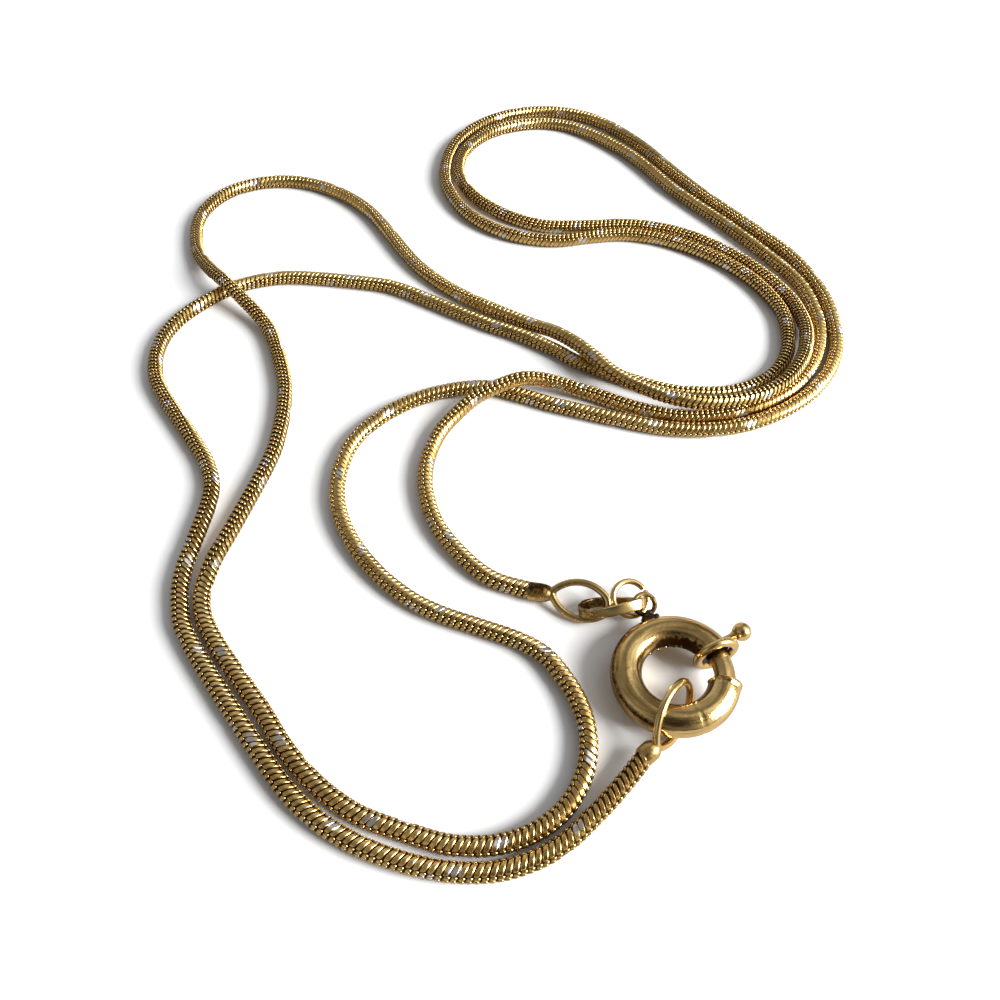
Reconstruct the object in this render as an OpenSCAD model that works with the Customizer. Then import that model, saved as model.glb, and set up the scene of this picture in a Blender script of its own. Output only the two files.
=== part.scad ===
// Snake chain necklace with a bolt ring clasp, lying loosely as it was laid down.
// Units are millimetres. The surface it lies on is z = 0 and the origin is at the middle
// of its outline, with +Z up and -Y toward the viewer.

/* [Snake chain] */
// Thickness of the chain
chain_d = 1.15; // [0.8:0.05:1.6]
// Outside diameter of the end caps
cap_d = 1.24; // [0.9:0.02:1.8]

/* [End eyes] */
// Wire diameter of the oval eyes
eye_wire_d = 0.4; // [0.3:0.02:0.6]
// Radius of the rounded ends of the eye that lies flat
eye_end_radius = 0.85; // [0.7:0.01:1.3]
// Radius of the rounded ends of the eye threaded round the ring
long_eye_end_radius = 1.19; // [1:0.02:1.5]
// How much wider the flat eye is than its rounded end, on each side
eye_swell = 0.3; // [0.1:0.01:0.4]
// How much wider the threaded eye is than its rounded end, on each side
long_eye_swell = 0.27; // [0.1:0.01:0.4]

/* [Connecting links] */
// Half length of the strip link, to the middle of its strip
strip_half_length = 2.04; // [1.6:0.01:2.6]
// Half width of the strip link, to the middle of its strip
strip_half_width = 0.96; // [0.6:0.01:1.1]
// Width of the flat strip
strip_width = 0.66; // [0.5:0.01:1]
// Thickness of the flat strip
strip_thickness = 0.24; // [0.15:0.01:0.4]
// Turn of the strip link from its middle to each end, in degrees
strip_twist = 15; // [0:1:30]
// Radius of the jump ring, to the middle of its wire
jump_radius = 1.13; // [0.7:0.01:1.3]
// Wire diameter of the jump ring
jump_wire_d = 0.36; // [0.2:0.02:0.5]

/* [Bolt ring] */
// Radius of the bolt ring, to the middle of its tube
ring_radius = 2.93; // [2.4:0.01:3.6]
// Outside diameter of the ring's tube
tube_d = 1.94; // [1.4:0.02:2.4]
// Inside diameter of the ring's tube
bore_d = 1.4; // [1:0.02:1.8]
// Diameter of the curved bolt
bolt_d = 1.24; // [0.9:0.02:1.6]
// Diameter of the knob on the bolt
knob_d = 1.18; // [0.8:0.02:1.6]
// Radius of the fixed eye on the ring's back, to the middle of its wire
fixed_eye_radius = 0.66; // [0.5:0.01:0.9]
// Wire diameter of the fixed eye
fixed_eye_wire_d = 0.3; // [0.2:0.02:0.4]
// How far the bolt slides open, in degrees round the ring
bolt_travel = 38; // [30:1:44]

/* [Hidden] */

// The chain's route, from the end at the oval eye to the end at the long eye.
// Each row is x, y and the height of the chain's middle. A height of 0.58 lies on the surface.
end_at_oval_eye = [
    [2.4, -21.66, 0.58], [-0.3, -20.7, 0.58], [-2.4, -18.8, 0.58], [-4.2, -16.2, 0.58],
    [-5.1, -13.2, 0.58], [-5.1, -10.4, 0.58], [-4.3, -7.8, 0.66], [-3.1, -6.1, 0.86],
    [-1.6, -4.7, 1.26], [0.4, -3.8, 1.72], [2.1, -3.2, 1.76], [4.2, -2.9, 1.16],
    [7.3, -3.7, 0.62], [10.8, -5.3, 0.58], [13.9, -6.1, 0.58], [17, -6, 0.58]
];
first_right_bend = [
    [19.9, -5.1, 0.58], [22.5, -3.6, 0.58], [24.6, -1.5, 0.58], [26.1, 1.2, 0.58],
    [26.9, 4.2, 0.58], [26.9, 7.2, 0.58], [26.4, 9.9, 0.58], [25.1, 12.6, 0.58],
    [21.9, 17.7, 0.58], [18.4, 22.5, 0.58], [16.7, 25, 0.58], [15.3, 27.6, 0.58]
];
first_top_loop = [
    [13.6, 30.3, 0.58], [11.7, 32.6, 0.58], [9.5, 34.7, 0.58], [7, 36.2, 0.58],
    [4.2, 36.6, 0.58], [1.3, 35.9, 0.58], [-1.3, 34.3, 0.58], [-3.1, 31.8, 0.58],
    [-3.9, 29, 0.58], [-3.7, 26.1, 0.58], [-2.5, 23.4, 0.58], [-0.6, 21.1, 0.58],
    [1.8, 19.3, 0.58], [4.6, 18.2, 0.58], [8.6, 18.2, 0.58], [11.6, 18.4, 0.58],
    [14.5, 18, 0.58], [17.3, 16.9, 0.58]
];
second_right_bend = [
    [19.6, 15.3, 0.58], [22, 13, 0.58], [23.8, 10.5, 0.58], [25.1, 7.8, 0.64],
    [25.5, 5.4, 0.84], [25.4, 2.9, 1.1], [24.6, 0.2, 1.4], [23.4, -2, 1.66],
    [21.9, -3.8, 1.8], [20, -5, 1.82], [18, -5.6, 1.82], [15.6, -5.8, 1.82],
    [13.3, -5.3, 1.8], [11.1, -4.2, 1.8], [9.1, -2.7, 1.8], [7.6, -0.8, 1.8],
    [6.3, 0.9, 1.64], [4.6, 2.8, 1.22]
];
left_loop = [
    [2.5, 4.5, 0.66], [-1.7, 7.2, 0.58], [-4.1, 9, 0.58], [-6.2, 11.1, 0.58],
    [-8, 13.5, 0.58], [-11, 18.7, 0.58], [-12.7, 21.1, 0.58], [-14.9, 23.2, 0.58],
    [-17.5, 24.8, 0.58], [-20.3, 25.6, 0.58], [-23.3, 25.4, 0.58], [-26, 24, 0.58],
    [-27.7, 21.6, 0.58], [-28.2, 18.7, 0.58], [-27.5, 15, 0.62], [-26.3, 12.5, 0.92],
    [-24.8, 10.2, 1.5], [-23.3, 8.4, 1.82], [-21.6, 6.7, 1.36], [-20, 5, 0.88],
    [-18.6, 2.8, 0.62]
];
inner_long_curve = [
    [-17, -1.8, 0.58], [-16.5, -4.7, 0.58], [-16.4, -7.7, 0.58], [-16.7, -10.7, 0.58],
    [-18.2, -16.5, 0.58], [-19, -19.4, 0.58], [-19.1, -22.4, 0.58], [-17.8, -25.1, 0.58],
    [-14, -29.8, 0.58], [-12.2, -32.2, 0.58], [-10.1, -34.3, 0.58], [-7.7, -35.9, 0.58],
    [-4.9, -36.9, 0.58], [-2, -37.6, 0.58], [1, -37.3, 0.58], [3.6, -35.8, 0.58],
    [5.1, -33.3, 0.58], [5.2, -30.4, 0.58], [4, -27.6, 0.58], [1.9, -25.5, 0.58],
    [-3.7, -23.3, 0.58], [-6.2, -21.8, 0.58], [-8.4, -19.7, 0.58], [-10.1, -17.3, 0.58],
    [-11.2, -14.5, 0.58], [-11.4, -11.5, 0.58], [-10.7, -8.6, 0.58], [-8.9, -6.2, 0.58],
    [-6.5, -4.4, 0.58], [-3.7, -3.3, 0.58], [-0.8, -3, 0.58], [2, -3.9, 0.58],
    [4.8, -5, 0.58], [10.6, -6.8, 0.58], [13.5, -7.4, 0.58]
];
third_right_bend = [
    [16.5, -7.4, 0.58], [19.5, -6.7, 0.58], [22.3, -5.3, 0.58], [24.6, -3.5, 0.58],
    [26.5, -1.1, 0.58], [27.7, 1.6, 0.58], [28.2, 4.6, 0.58], [28.2, 7.6, 0.58],
    [27.6, 10.6, 0.58], [26.6, 13.3, 0.58], [25.1, 15.9, 0.58], [19.9, 23.3, 0.58],
    [16.9, 28.4, 0.58], [15.5, 31, 0.58], [13.8, 33.6, 0.58], [11.9, 35.9, 0.58]
];
second_top_loop = [
    [9.6, 37.8, 0.58], [6.8, 38.9, 0.58], [3.8, 39, 0.58], [0.9, 38.2, 0.58],
    [-1.6, 36.5, 0.58], [-3.6, 34.2, 0.58], [-4.8, 31.5, 0.58], [-5.3, 28.5, 0.58],
    [-5.2, 25.6, 0.58], [-4.3, 22.7, 0.58], [-2.8, 20.1, 0.58], [-0.6, 18, 0.58],
    [2, 16.6, 0.58], [5.4, 16, 0.58], [8.9, 16.6, 0.58], [11.8, 16.9, 0.58],
    [14.8, 16.3, 0.58]
];
fourth_right_bend = [
    [17.5, 15, 0.58], [19.9, 13.2, 0.58], [21.9, 11, 0.58], [23.4, 8.4, 0.58],
    [24.2, 5.6, 0.58], [24, 2.6, 0.58], [23, -0.2, 0.58], [21, -2.3, 0.58],
    [18.3, -3.5, 0.58], [15.3, -3.6, 0.58], [12.4, -3, 0.58], [7, -0.4, 0.58],
    [4.7, 1.3, 0.58], [2.1, 3, 0.58]
];
end_at_long_eye = [
    [-0.7, 4.4, 0.58], [-3.1, 5.8, 0.58], [-8.3, 8.9, 0.58], [-11.2, 9.8, 0.58],
    [-17.1, 10.6, 0.58], [-20.1, 10.4, 0.58], [-22.9, 9.3, 0.58], [-25.1, 7.4, 0.58],
    [-26.9, 4.9, 0.58], [-27.7, 2.1, 0.58], [-27.4, -0.9, 0.58], [-26.2, -3.6, 0.58],
    [-22.7, -8.5, 0.58], [-21.1, -11, 0.58], [-20.3, -13.9, 0.58], [-20.8, -19.9, 0.58],
    [-20.4, -22.8, 0.58], [-19.1, -25.5, 0.58], [-13.5, -32.6, 0.58], [-10.8, -35.5, 0.58],
    [-8.2, -37.2, 0.58], [-5.4, -38.3, 0.58], [-2.5, -38.9, 0.58], [0.5, -38.8, 0.58],
    [3.3, -37.7, 0.6], [5.6, -35.8, 0.68], [7.2, -34.2, 0.82], [8.36, -32.9, 0.96]
];
route = concat(end_at_oval_eye, first_right_bend, first_top_loop, second_right_bend,
               left_loop, inner_long_curve, third_right_bend, second_top_loop,
               fourth_right_bend, end_at_long_eye);

tube_sides = 8;
corner_r = chain_d / 2 / cos(180 / tube_sides);
turn_per_ring = 14;
oval_eye_middle = [5.41, -22.61, 1.01];
long_eye_middle = [10.28, -30.49, 1.56];
strip_middle = [7.32, -23.15, 1.22];
jump_middle = [8.57, -22.41, 0.95];
ring_middle = [10.67, -28, 1.49];
ring_lean = 3.5;
ring_lean_toward = -10;
mouth_angle = 26.5;
lip_angle = -12.5;
mouth_slant = -8;
flange_radius = 1.22;
flange_wire_d = 0.56;

// Points on the smooth line through the route
function routePoint(i) =
    i < 0 ? 2 * route[0] - route[1] :
    i > len(route) - 1 ? 2 * route[len(route) - 1] - route[len(route) - 2] :
    route[i];

function onSpan(i, t) =
    let (a = routePoint(i - 1), b = routePoint(i), c = routePoint(i + 1), d = routePoint(i + 2))
    0.5 * (2 * b + (c - a) * t + (2 * a - 5 * b + 4 * c - d) * t * t
        + (3 * b - a - 3 * c + d) * t * t * t);

function unit(v) = v / norm(v);

function heading(i) = unit(routePoint(i + 1) - routePoint(i - 1));

function spanSteps(i) =
    max(1, ceil(acos(min(1, heading(i) * heading(i + 1))) / turn_per_ring));

middles = [
    for (i = [0 : len(route) - 2])
        let (n = spanSteps(i))
        for (k = [0 : n - 1]) onSpan(i, k / n),
    route[len(route) - 1]
];

function along(j) =
    unit(middles[min(j + 1, len(middles) - 1)] - middles[max(j - 1, 0)]);

function ringPoints(j) =
    let (t = along(j), s = unit(cross([0, 0, 1], t)), u = cross(t, s))
    [for (k = [0 : tube_sides - 1])
        let (a = (k + 0.5) * 360 / tube_sides)
        middles[j] + corner_r * (cos(a) * s + sin(a) * u)];

module snake_chain() {
    count = len(middles);
    last = (count - 1) * tube_sides;
    sides = [
        for (j = [0 : count - 2])
            for (k = [0 : tube_sides - 1])
                let (a = j * tube_sides + k, b = j * tube_sides + (k + 1) % tube_sides)
                each [[a, b + tube_sides, b], [a, a + tube_sides, b + tube_sides]]
    ];
    first_end = [for (k = [0 : tube_sides - 1]) k];
    second_end = [for (k = [tube_sides - 1 : -1 : 0]) last + k];
    color("goldenrod")
        polyhedron(points = [for (j = [0 : count - 1]) each ringPoints(j)],
            faces = concat([first_end, second_end], sides));
}

// One arc of round wire about a centre
module wireArc(radius, wire_r, from, sweep) {
    rotate_extrude(angle = sweep, start = from, $fn = 72)
        translate([radius, 0])
            circle(r = wire_r, $fn = 24);
}

// An eye of round wire along X: one rounded end and two side arcs that close to a point.
// The arcs' centres stand on a triangle with sides in the ratio 3, 4 and 5.
module eyeWire(end_r, swell, wire_r) {
    reach = 3 * swell;
    drop = 4 * swell;
    turn = atan2(4, 3);
    side_r = end_r + 5 * swell;
    side_sweep = 180 - asin(drop / side_r) - turn;
    translate([reach, 0, 0])
        wireArc(end_r, wire_r, -turn, 2 * turn);
    translate([0, -drop, 0])
        wireArc(side_r, wire_r, turn, side_sweep);
    translate([0, drop, 0])
        wireArc(side_r, wire_r, -turn - side_sweep, side_sweep);
    // A trace of solder where the arcs meet
    for (side = [-1, 1])
        translate([reach + 0.6 * end_r, side * 0.8 * end_r, 0])
            sphere(r = wire_r * 1.08, $fn = 24);
}

// A round bar between two points
module bar(from, to, r) {
    v = to - from;
    translate(from)
        rotate([0, acos(v[2] / norm(v)), atan2(v[1], v[0])])
            cylinder(r = r, h = norm(v), $fn = 40);
}

module oval_eye_cap() {
    color("gold") {
        translate(oval_eye_middle)
            rotate([29.9, -2.2, -18.9])
                eyeWire(eye_end_radius, eye_swell, eye_wire_d / 2);
        bar([2.56, -21.72, 0.63], [3.66, -21.92, 0.66], cap_d / 2);
    }
}

module long_eye_cap() {
    color("khaki") {
        translate(long_eye_middle)
            rotate([64.3, -6.8, 58.7])
                eyeWire(long_eye_end_radius, long_eye_swell, eye_wire_d / 2);
        bar([8.48, -32.75, 1.02], [9.17, -32.25, 1.27], cap_d / 2);
    }
}

// A point on the strip link: an oval hoop of flat strip, turned about its length
function stripPoint(a, grow, h) =
    let (out = unit([cos(a) / strip_half_length, sin(a) / strip_half_width]),
         p = [strip_half_length * cos(a), strip_half_width * sin(a)] + grow * out,
         t = strip_twist * p[0] / strip_half_length)
    [p[0], p[1] * cos(t) + h * sin(t), h * cos(t) - p[1] * sin(t)];

module strip_link() {
    steps = 96;
    t = strip_thickness / 2;
    w = strip_width / 2;
    corners = [[t, -w], [t, w], [-t, w], [-t, -w]];
    color("peru")
        translate(strip_middle)
            rotate([-42.5, -5.2, 4.5])
                polyhedron(
                    points = [for (i = [0 : steps - 1]) for (c = corners)
                        stripPoint(i * 360 / steps, c[0], c[1])],
                    faces = [for (i = [0 : steps - 1]) for (k = [0 : 3])
                        let (a = i * 4 + k, b = i * 4 + (k + 1) % 4,
                             c = (i + 1) % steps * 4 + (k + 1) % 4, d = (i + 1) % steps * 4 + k)
                        each [[a, b, c], [a, c, d]]]);
}

module jump_ring() {
    color("orange")
        translate(jump_middle)
            rotate([0, 20.5, -62.7])
                wireArc(jump_radius, jump_wire_d / 2, 100, 355);
}

module inRingFrame() {
    translate(ring_middle)
        rotate([0, 0, ring_lean_toward])
            rotate([0, -ring_lean, 0])
                rotate([0, 0, -ring_lean_toward])
                    children();
}

module ringArc(r, from, sweep) {
    rotate_extrude(angle = sweep, start = from, $fn = 120)
        translate([ring_radius, 0])
            circle(r = r, $fn = 36);
}

module bolt_ring() {
    body_sweep = 360 + lip_angle - mouth_angle;
    color("darkgoldenrod")
        inRingFrame() {
            difference() {
                union() {
                    rotate_extrude(angle = body_sweep, start = mouth_angle, $fn = 120)
                        translate([ring_radius, 0])
                            difference() {
                                circle(r = tube_d / 2, $fn = 36);
                                circle(r = bore_d / 2, $fn = 36);
                            }
                    // Round wire flange about the mouth
                    translate([ring_radius * cos(mouth_angle), ring_radius * sin(mouth_angle), 0])
                        rotate([0, 0, mouth_angle + mouth_slant])
                            rotate([90, 0, 0])
                                wireArc(flange_radius, flange_wire_d / 2, 0, 360);
                }
                // Slot for the knob's stem
                rotate_extrude(angle = bolt_travel + 10, start = 30.5, $fn = 120)
                    translate([3.5, -0.27])
                        square([0.6, 0.54]);
            }
            // Fixed eye and its solder
            rotate([0, 0, 105.1]) {
                translate([5.06, 0, 0.06])
                    rotate([0, -23.3, 0])
                        wireArc(fixed_eye_radius, fixed_eye_wire_d / 2, 0, 360);
                bar([3.6, 0, -0.1], [4.5, 0, -0.19], 0.3);
            }
        }
}

module sliding_bolt() {
    knob = [4.41, 2.756, 0];
    root = [2.35, 1.814, 0];
    color("tan")
        inRingFrame() {
            ringArc(bolt_d / 2, lip_angle - 6, 86);
            bar(root, knob, 0.2);
            translate(knob)
                sphere(d = knob_d, $fn = 40);
        }
}

snake_chain();
oval_eye_cap();
strip_link();
jump_ring();
bolt_ring();
sliding_bolt();
long_eye_cap();
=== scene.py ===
import bpy
import math
from mathutils import Vector, Matrix, Euler, noise as bumps


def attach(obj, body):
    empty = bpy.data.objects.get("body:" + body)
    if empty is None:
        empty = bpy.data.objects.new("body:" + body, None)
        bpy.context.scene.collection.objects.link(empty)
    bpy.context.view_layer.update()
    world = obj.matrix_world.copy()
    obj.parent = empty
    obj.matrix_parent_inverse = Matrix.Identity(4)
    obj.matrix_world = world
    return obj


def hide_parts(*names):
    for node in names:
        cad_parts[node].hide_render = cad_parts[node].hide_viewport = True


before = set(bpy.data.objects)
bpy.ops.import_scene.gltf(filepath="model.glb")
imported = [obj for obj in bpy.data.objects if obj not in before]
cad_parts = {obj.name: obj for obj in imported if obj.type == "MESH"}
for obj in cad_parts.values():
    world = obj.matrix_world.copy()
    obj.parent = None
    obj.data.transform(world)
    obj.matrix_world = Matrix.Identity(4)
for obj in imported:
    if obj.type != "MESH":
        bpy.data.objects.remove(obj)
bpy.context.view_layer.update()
print("frame loaded")

mm = 0.001
mergeWithin = 0.0008      # points of a piece that lie this near, in millimetres, are made one


def cleanStart():
    if bpy.context.object and bpy.context.object.mode != "OBJECT":
        bpy.ops.object.mode_set(mode="OBJECT")
    bpy.ops.object.select_all(action="DESELECT")


def only(obj):
    cleanStart()
    obj.select_set(True)
    bpy.context.view_layer.objects.active = obj


def applyAll(obj):
    only(obj)
    for m in list(obj.modifiers):
        bpy.ops.object.modifier_apply(modifier=m.name)


def settle(obj):  # place, turn and size go into the mesh
    only(obj)
    bpy.ops.object.transform_apply(location=True, rotation=True, scale=True)


def joinAll(objs):
    cleanStart()
    for o in objs:
        o.select_set(True)
    bpy.context.view_layer.objects.active = objs[0]
    bpy.ops.object.join()
    return objs[0]


def closeUp(obj):  # doubles merged, then the faces turned outward
    only(obj)
    bpy.ops.object.mode_set(mode="EDIT")
    bpy.ops.mesh.select_all(action="SELECT")
    bpy.ops.mesh.remove_doubles(threshold=mergeWithin)
    bpy.ops.mesh.normals_make_consistent(inside=False)
    bpy.ops.object.mode_set(mode="OBJECT")


def finish(obj, name, place, material, node, body="necklace", crease=40):
    # the piece was made in millimetres in its own frame
    obj.name = name
    obj.data.transform(Matrix.Scale(mm, 4) @ place)
    obj.data.materials.clear()
    obj.data.materials.append(material)
    only(obj)
    bpy.ops.object.shade_smooth_by_angle(angle=math.radians(crease))
    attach(obj, body)
    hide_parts(node)


def spun(degrees):  # turned about X, then Y, then Z
    return Euler([math.radians(d) for d in degrees], "XYZ").to_matrix().to_4x4()


def turned(place, degrees):  # a frame at a place, turned in the same way
    return Matrix.Translation(place) @ spun(degrees)


# Camera, floor and light

view = {"lens": 30.6, "sensor": 36, "near": 0.002, "far": 5,
        "place": (0.2, -50.66, 48.17), "aim": (0.2, -13.7, 0)}

cleanStart()
bpy.ops.object.camera_add(location=Vector(view["place"]) * mm)
camera = bpy.context.object
camera.data.lens = view["lens"]
camera.data.sensor_width = view["sensor"]
camera.data.clip_start = view["near"]
camera.data.clip_end = view["far"]
lookAlong = Vector(view["aim"]) - Vector(view["place"])
camera.rotation_euler = lookAlong.to_track_quat("-Z", "Y").to_euler()
bpy.context.scene.camera = camera

studio = {
    "floor": 2.4,
    "key": {"from": (0.41, -0.13, 0.25), "size": 0.30, "power": 6.2},
    "room": (0.105, 0.103, 0.100),
    # soft fields of the room: where they are, from where to where they fade in degrees,
    # and what they add
    "fields": (((0.9, -0.15, 0.35), 5, 62, (0.55, 0.55, 0.54)),
               ((0.0, 0.0, 1.0), 60, 86, (0.125, 0.123, 0.120)),  # the walls darken downward
               ((0.45, 0.25, 0.86), 6, 26, (0.76, 0.80, 0.86)),
               ((-0.3, 0.95, 0.25), 8, 42, (0.38, 0.40, 0.45)),
               ((-0.8, -0.5, 0.45), 5, 28, (0.21, 0.22, 0.25)),
               ((0.0, -0.61, 0.79), 6, 34, (-0.19, -0.19, -0.19))),  # the camera's own dark
}

bpy.ops.mesh.primitive_plane_add(size=studio["floor"], location=(0, 0, 0))
floor = bpy.context.object
floor.name = "floor"

key = studio["key"]
bpy.ops.object.light_add(type="AREA", location=key["from"])
keyLight = bpy.context.object
keyLight.data.shape = "DISK"
keyLight.data.size = key["size"]
keyLight.data.energy = key["power"]
keyLight.rotation_euler = (-Vector(key["from"])).to_track_quat("-Z", "Y").to_euler()

world = bpy.context.scene.world or bpy.data.worlds.new("World")
bpy.context.scene.world = world
world.use_nodes = True
roomTree = world.node_tree
roomLook = roomTree.nodes.new("ShaderNodeTexCoord").outputs["Generated"]
roomLight = None
for toward, inner, outer, add in studio["fields"]:
    meet = roomTree.nodes.new("ShaderNodeVectorMath")
    meet.operation = "DOT_PRODUCT"
    roomTree.links.new(roomLook, meet.inputs[0])
    meet.inputs[1].default_value = Vector(toward).normalized()
    fade = roomTree.nodes.new("ShaderNodeMapRange")
    fade.interpolation_type = "SMOOTHSTEP"
    fade.inputs["From Min"].default_value = math.cos(math.radians(outer))
    fade.inputs["From Max"].default_value = math.cos(math.radians(inner))
    roomTree.links.new(meet.outputs["Value"], fade.inputs["Value"])
    plus = roomTree.nodes.new("ShaderNodeVectorMath")
    plus.operation = "MULTIPLY_ADD"
    roomTree.links.new(fade.outputs["Result"], plus.inputs[0])
    plus.inputs[1].default_value = add
    if roomLight:
        roomTree.links.new(roomLight, plus.inputs[2])
    else:
        plus.inputs[2].default_value = studio["room"]
    roomLight = plus.outputs["Vector"]
roomTree.links.new(roomLight, roomTree.nodes["Background"].inputs["Color"])
roomTree.nodes["Background"].inputs["Strength"].default_value = 1
bpy.context.scene.view_settings.view_transform = "Standard"
print("studio ready")


# Materials

def newGroup(name, inputs, outputs):
    group = bpy.data.node_groups.new(name, "ShaderNodeTree")
    for title, kind, value in inputs:
        s = group.interface.new_socket(name=title, in_out="INPUT", socket_type=kind)
        if value is not None:
            s.default_value = value
    for title, kind in outputs:
        group.interface.new_socket(name=title, in_out="OUTPUT", socket_type=kind)
    return group, group.nodes.new("NodeGroupInput"), group.nodes.new("NodeGroupOutput")


def noise(tree, vector, scale, detail, rough=0.55):
    n = tree.nodes.new("ShaderNodeTexNoise")
    n.inputs["Scale"].default_value = scale
    n.inputs["Detail"].default_value = detail
    n.inputs["Roughness"].default_value = rough
    tree.links.new(vector, n.inputs["Vector"])
    return n.outputs["Fac"]


def span(tree, value, low, high, outLow=0.0, outHigh=1.0):
    n = tree.nodes.new("ShaderNodeMapRange")
    n.inputs["From Min"].default_value = low
    n.inputs["From Max"].default_value = high
    n.inputs["To Min"].default_value = outLow
    n.inputs["To Max"].default_value = outHigh
    tree.links.new(value, n.inputs["Value"])
    return n.outputs["Result"]


def mixColour(tree, factor, a, b):
    n = tree.nodes.new("ShaderNodeMix")
    n.data_type = "RGBA"
    for socket, value in (("Factor", factor), ("A", a), ("B", b)):
        plug = [s for s in n.inputs if s.name == socket and s.enabled][0]
        if isinstance(value, bpy.types.NodeSocket):
            tree.links.new(value, plug)
        else:
            plug.default_value = (*value, 1)
    return [s for s in n.outputs if s.enabled][0]


def maths(tree, what, a, b=None):
    n = tree.nodes.new("ShaderNodeMath")
    n.operation = what
    for plug, value in zip(n.inputs, (a, b)):
        if isinstance(value, bpy.types.NodeSocket):
            tree.links.new(value, plug)
        elif value is not None:
            plug.default_value = value
    return n.outputs["Value"]


# Old gold: warm metal; brown where the recess asks for it, which is tarnish and, on some pieces,
# painted shade and a painted dark reflection; dull patches, dull streaks and fine wear
grain = {
    "large": (420, 5, 0.6), "fine": (5200, 6, 0.65),   # scale, detail and roughness of a noise
    "patches": (0.42, 0.68),                           # where the dull patches begin and are full
    "streaks": (0.45, 0.60), "streakShare": 0.75,
    "fray": (0.3, 0.7, -0.22, 0.22),                   # how the fine noise frays the tarnish and painted shade
    "tarnishAndShade": (0.25, 0.8),
    "wear": (0.35, 0.75), "wearRough": 0.10,
    "largeRelief": 0.5,
}
oldGold, goldIn, goldOut = newGroup(
    "oldGold",
    [("Vector", "NodeSocketVector", None),
     ("Bright", "NodeSocketColor", (0.86, 0.60, 0.24, 1)),
     ("Dull", "NodeSocketColor", (0.55, 0.34, 0.10, 1)),
     ("Brown", "NodeSocketColor", (0.04, 0.016, 0.004, 1)),
     ("Recess", "NodeSocketFloat", 0.0), ("Patches", "NodeSocketFloat", 0.5),
     ("Lines", "NodeSocketFloat", 0.47), ("Smooth", "NodeSocketFloat", 0.2),
     ("Worn", "NodeSocketFloat", 0.4)],
    [("Color", "NodeSocketColor"), ("Roughness", "NodeSocketFloat"), ("Height", "NodeSocketFloat")])
asked = goldIn.outputs
large = noise(oldGold, asked["Vector"], *grain["large"])
fine = noise(oldGold, asked["Vector"], *grain["fine"])
patch = maths(oldGold, "MULTIPLY", span(oldGold, large, *grain["patches"]), asked["Patches"])
# dull streaks where Lines runs high: on the ring these are polish lines and painted reflections
streak = maths(oldGold, "MULTIPLY", span(oldGold, asked["Lines"], *grain["streaks"]),
               grain["streakShare"])
metal = mixColour(oldGold, maths(oldGold, "MAXIMUM", patch, streak), asked["Bright"], asked["Dull"])
frayed = maths(oldGold, "ADD", asked["Recess"], span(oldGold, fine, *grain["fray"]))
# the recess turns the metal brown: tarnish, and on some pieces painted shade and a painted dark
# reflection
grime = span(oldGold, frayed, *grain["tarnishAndShade"])
oldGold.links.new(mixColour(oldGold, grime, metal, asked["Brown"]), goldOut.inputs["Color"])
wear = maths(oldGold, "MULTIPLY", span(oldGold, fine, *grain["wear"]), grain["wearRough"])
smooth = maths(oldGold, "ADD", asked["Smooth"], maths(oldGold, "MULTIPLY", grime, asked["Worn"]))
oldGold.links.new(maths(oldGold, "ADD", wear, smooth), goldOut.inputs["Roughness"])
relief = maths(oldGold, "ADD", fine, maths(oldGold, "MULTIPLY", large, grain["largeRelief"]))
oldGold.links.new(maths(oldGold, "ADD", relief, asked["Lines"]), goldOut.inputs["Height"])

# Dull lines that run round a turned or bent piece, from its own centred coordinates: polish lines,
# and painted reflections of the room round the ring
polishAndReflection = {"noise": (4200, 3, 0.6), "turn": 0.0003}   # turn: how fast they change on the way round
polishAndReflectionLines, lineIn, lineOut = newGroup(
    "polishAndReflectionLines", [("Vector", "NodeSocketVector", None)], [("Lines", "NodeSocketFloat")])
spot = polishAndReflectionLines.nodes.new("ShaderNodeSeparateXYZ")
polishAndReflectionLines.links.new(lineIn.outputs["Vector"], spot.inputs[0])
squares = [maths(polishAndReflectionLines, "MULTIPLY", spot.outputs[axis], spot.outputs[axis]) for axis in "XY"]
flatOut = maths(polishAndReflectionLines, "SQRT", maths(polishAndReflectionLines, "ADD", *squares))
heading = maths(polishAndReflectionLines, "ARCTAN2", spot.outputs["Y"], spot.outputs["X"])
put = polishAndReflectionLines.nodes.new("ShaderNodeCombineXYZ")
polishAndReflectionLines.links.new(flatOut, put.inputs["X"])
polishAndReflectionLines.links.new(spot.outputs["Z"], put.inputs["Y"])
polishAndReflectionLines.links.new(maths(polishAndReflectionLines, "MULTIPLY", heading, polishAndReflection["turn"]), put.inputs["Z"])
polishAndReflectionLines.links.new(noise(polishAndReflectionLines, put.outputs["Vector"], *polishAndReflection["noise"]),
                     lineOut.inputs["Lines"])

finishLook = {"coatRough": 0.12, "bump": 0.000008, "bumpShare": 0.6}


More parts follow.
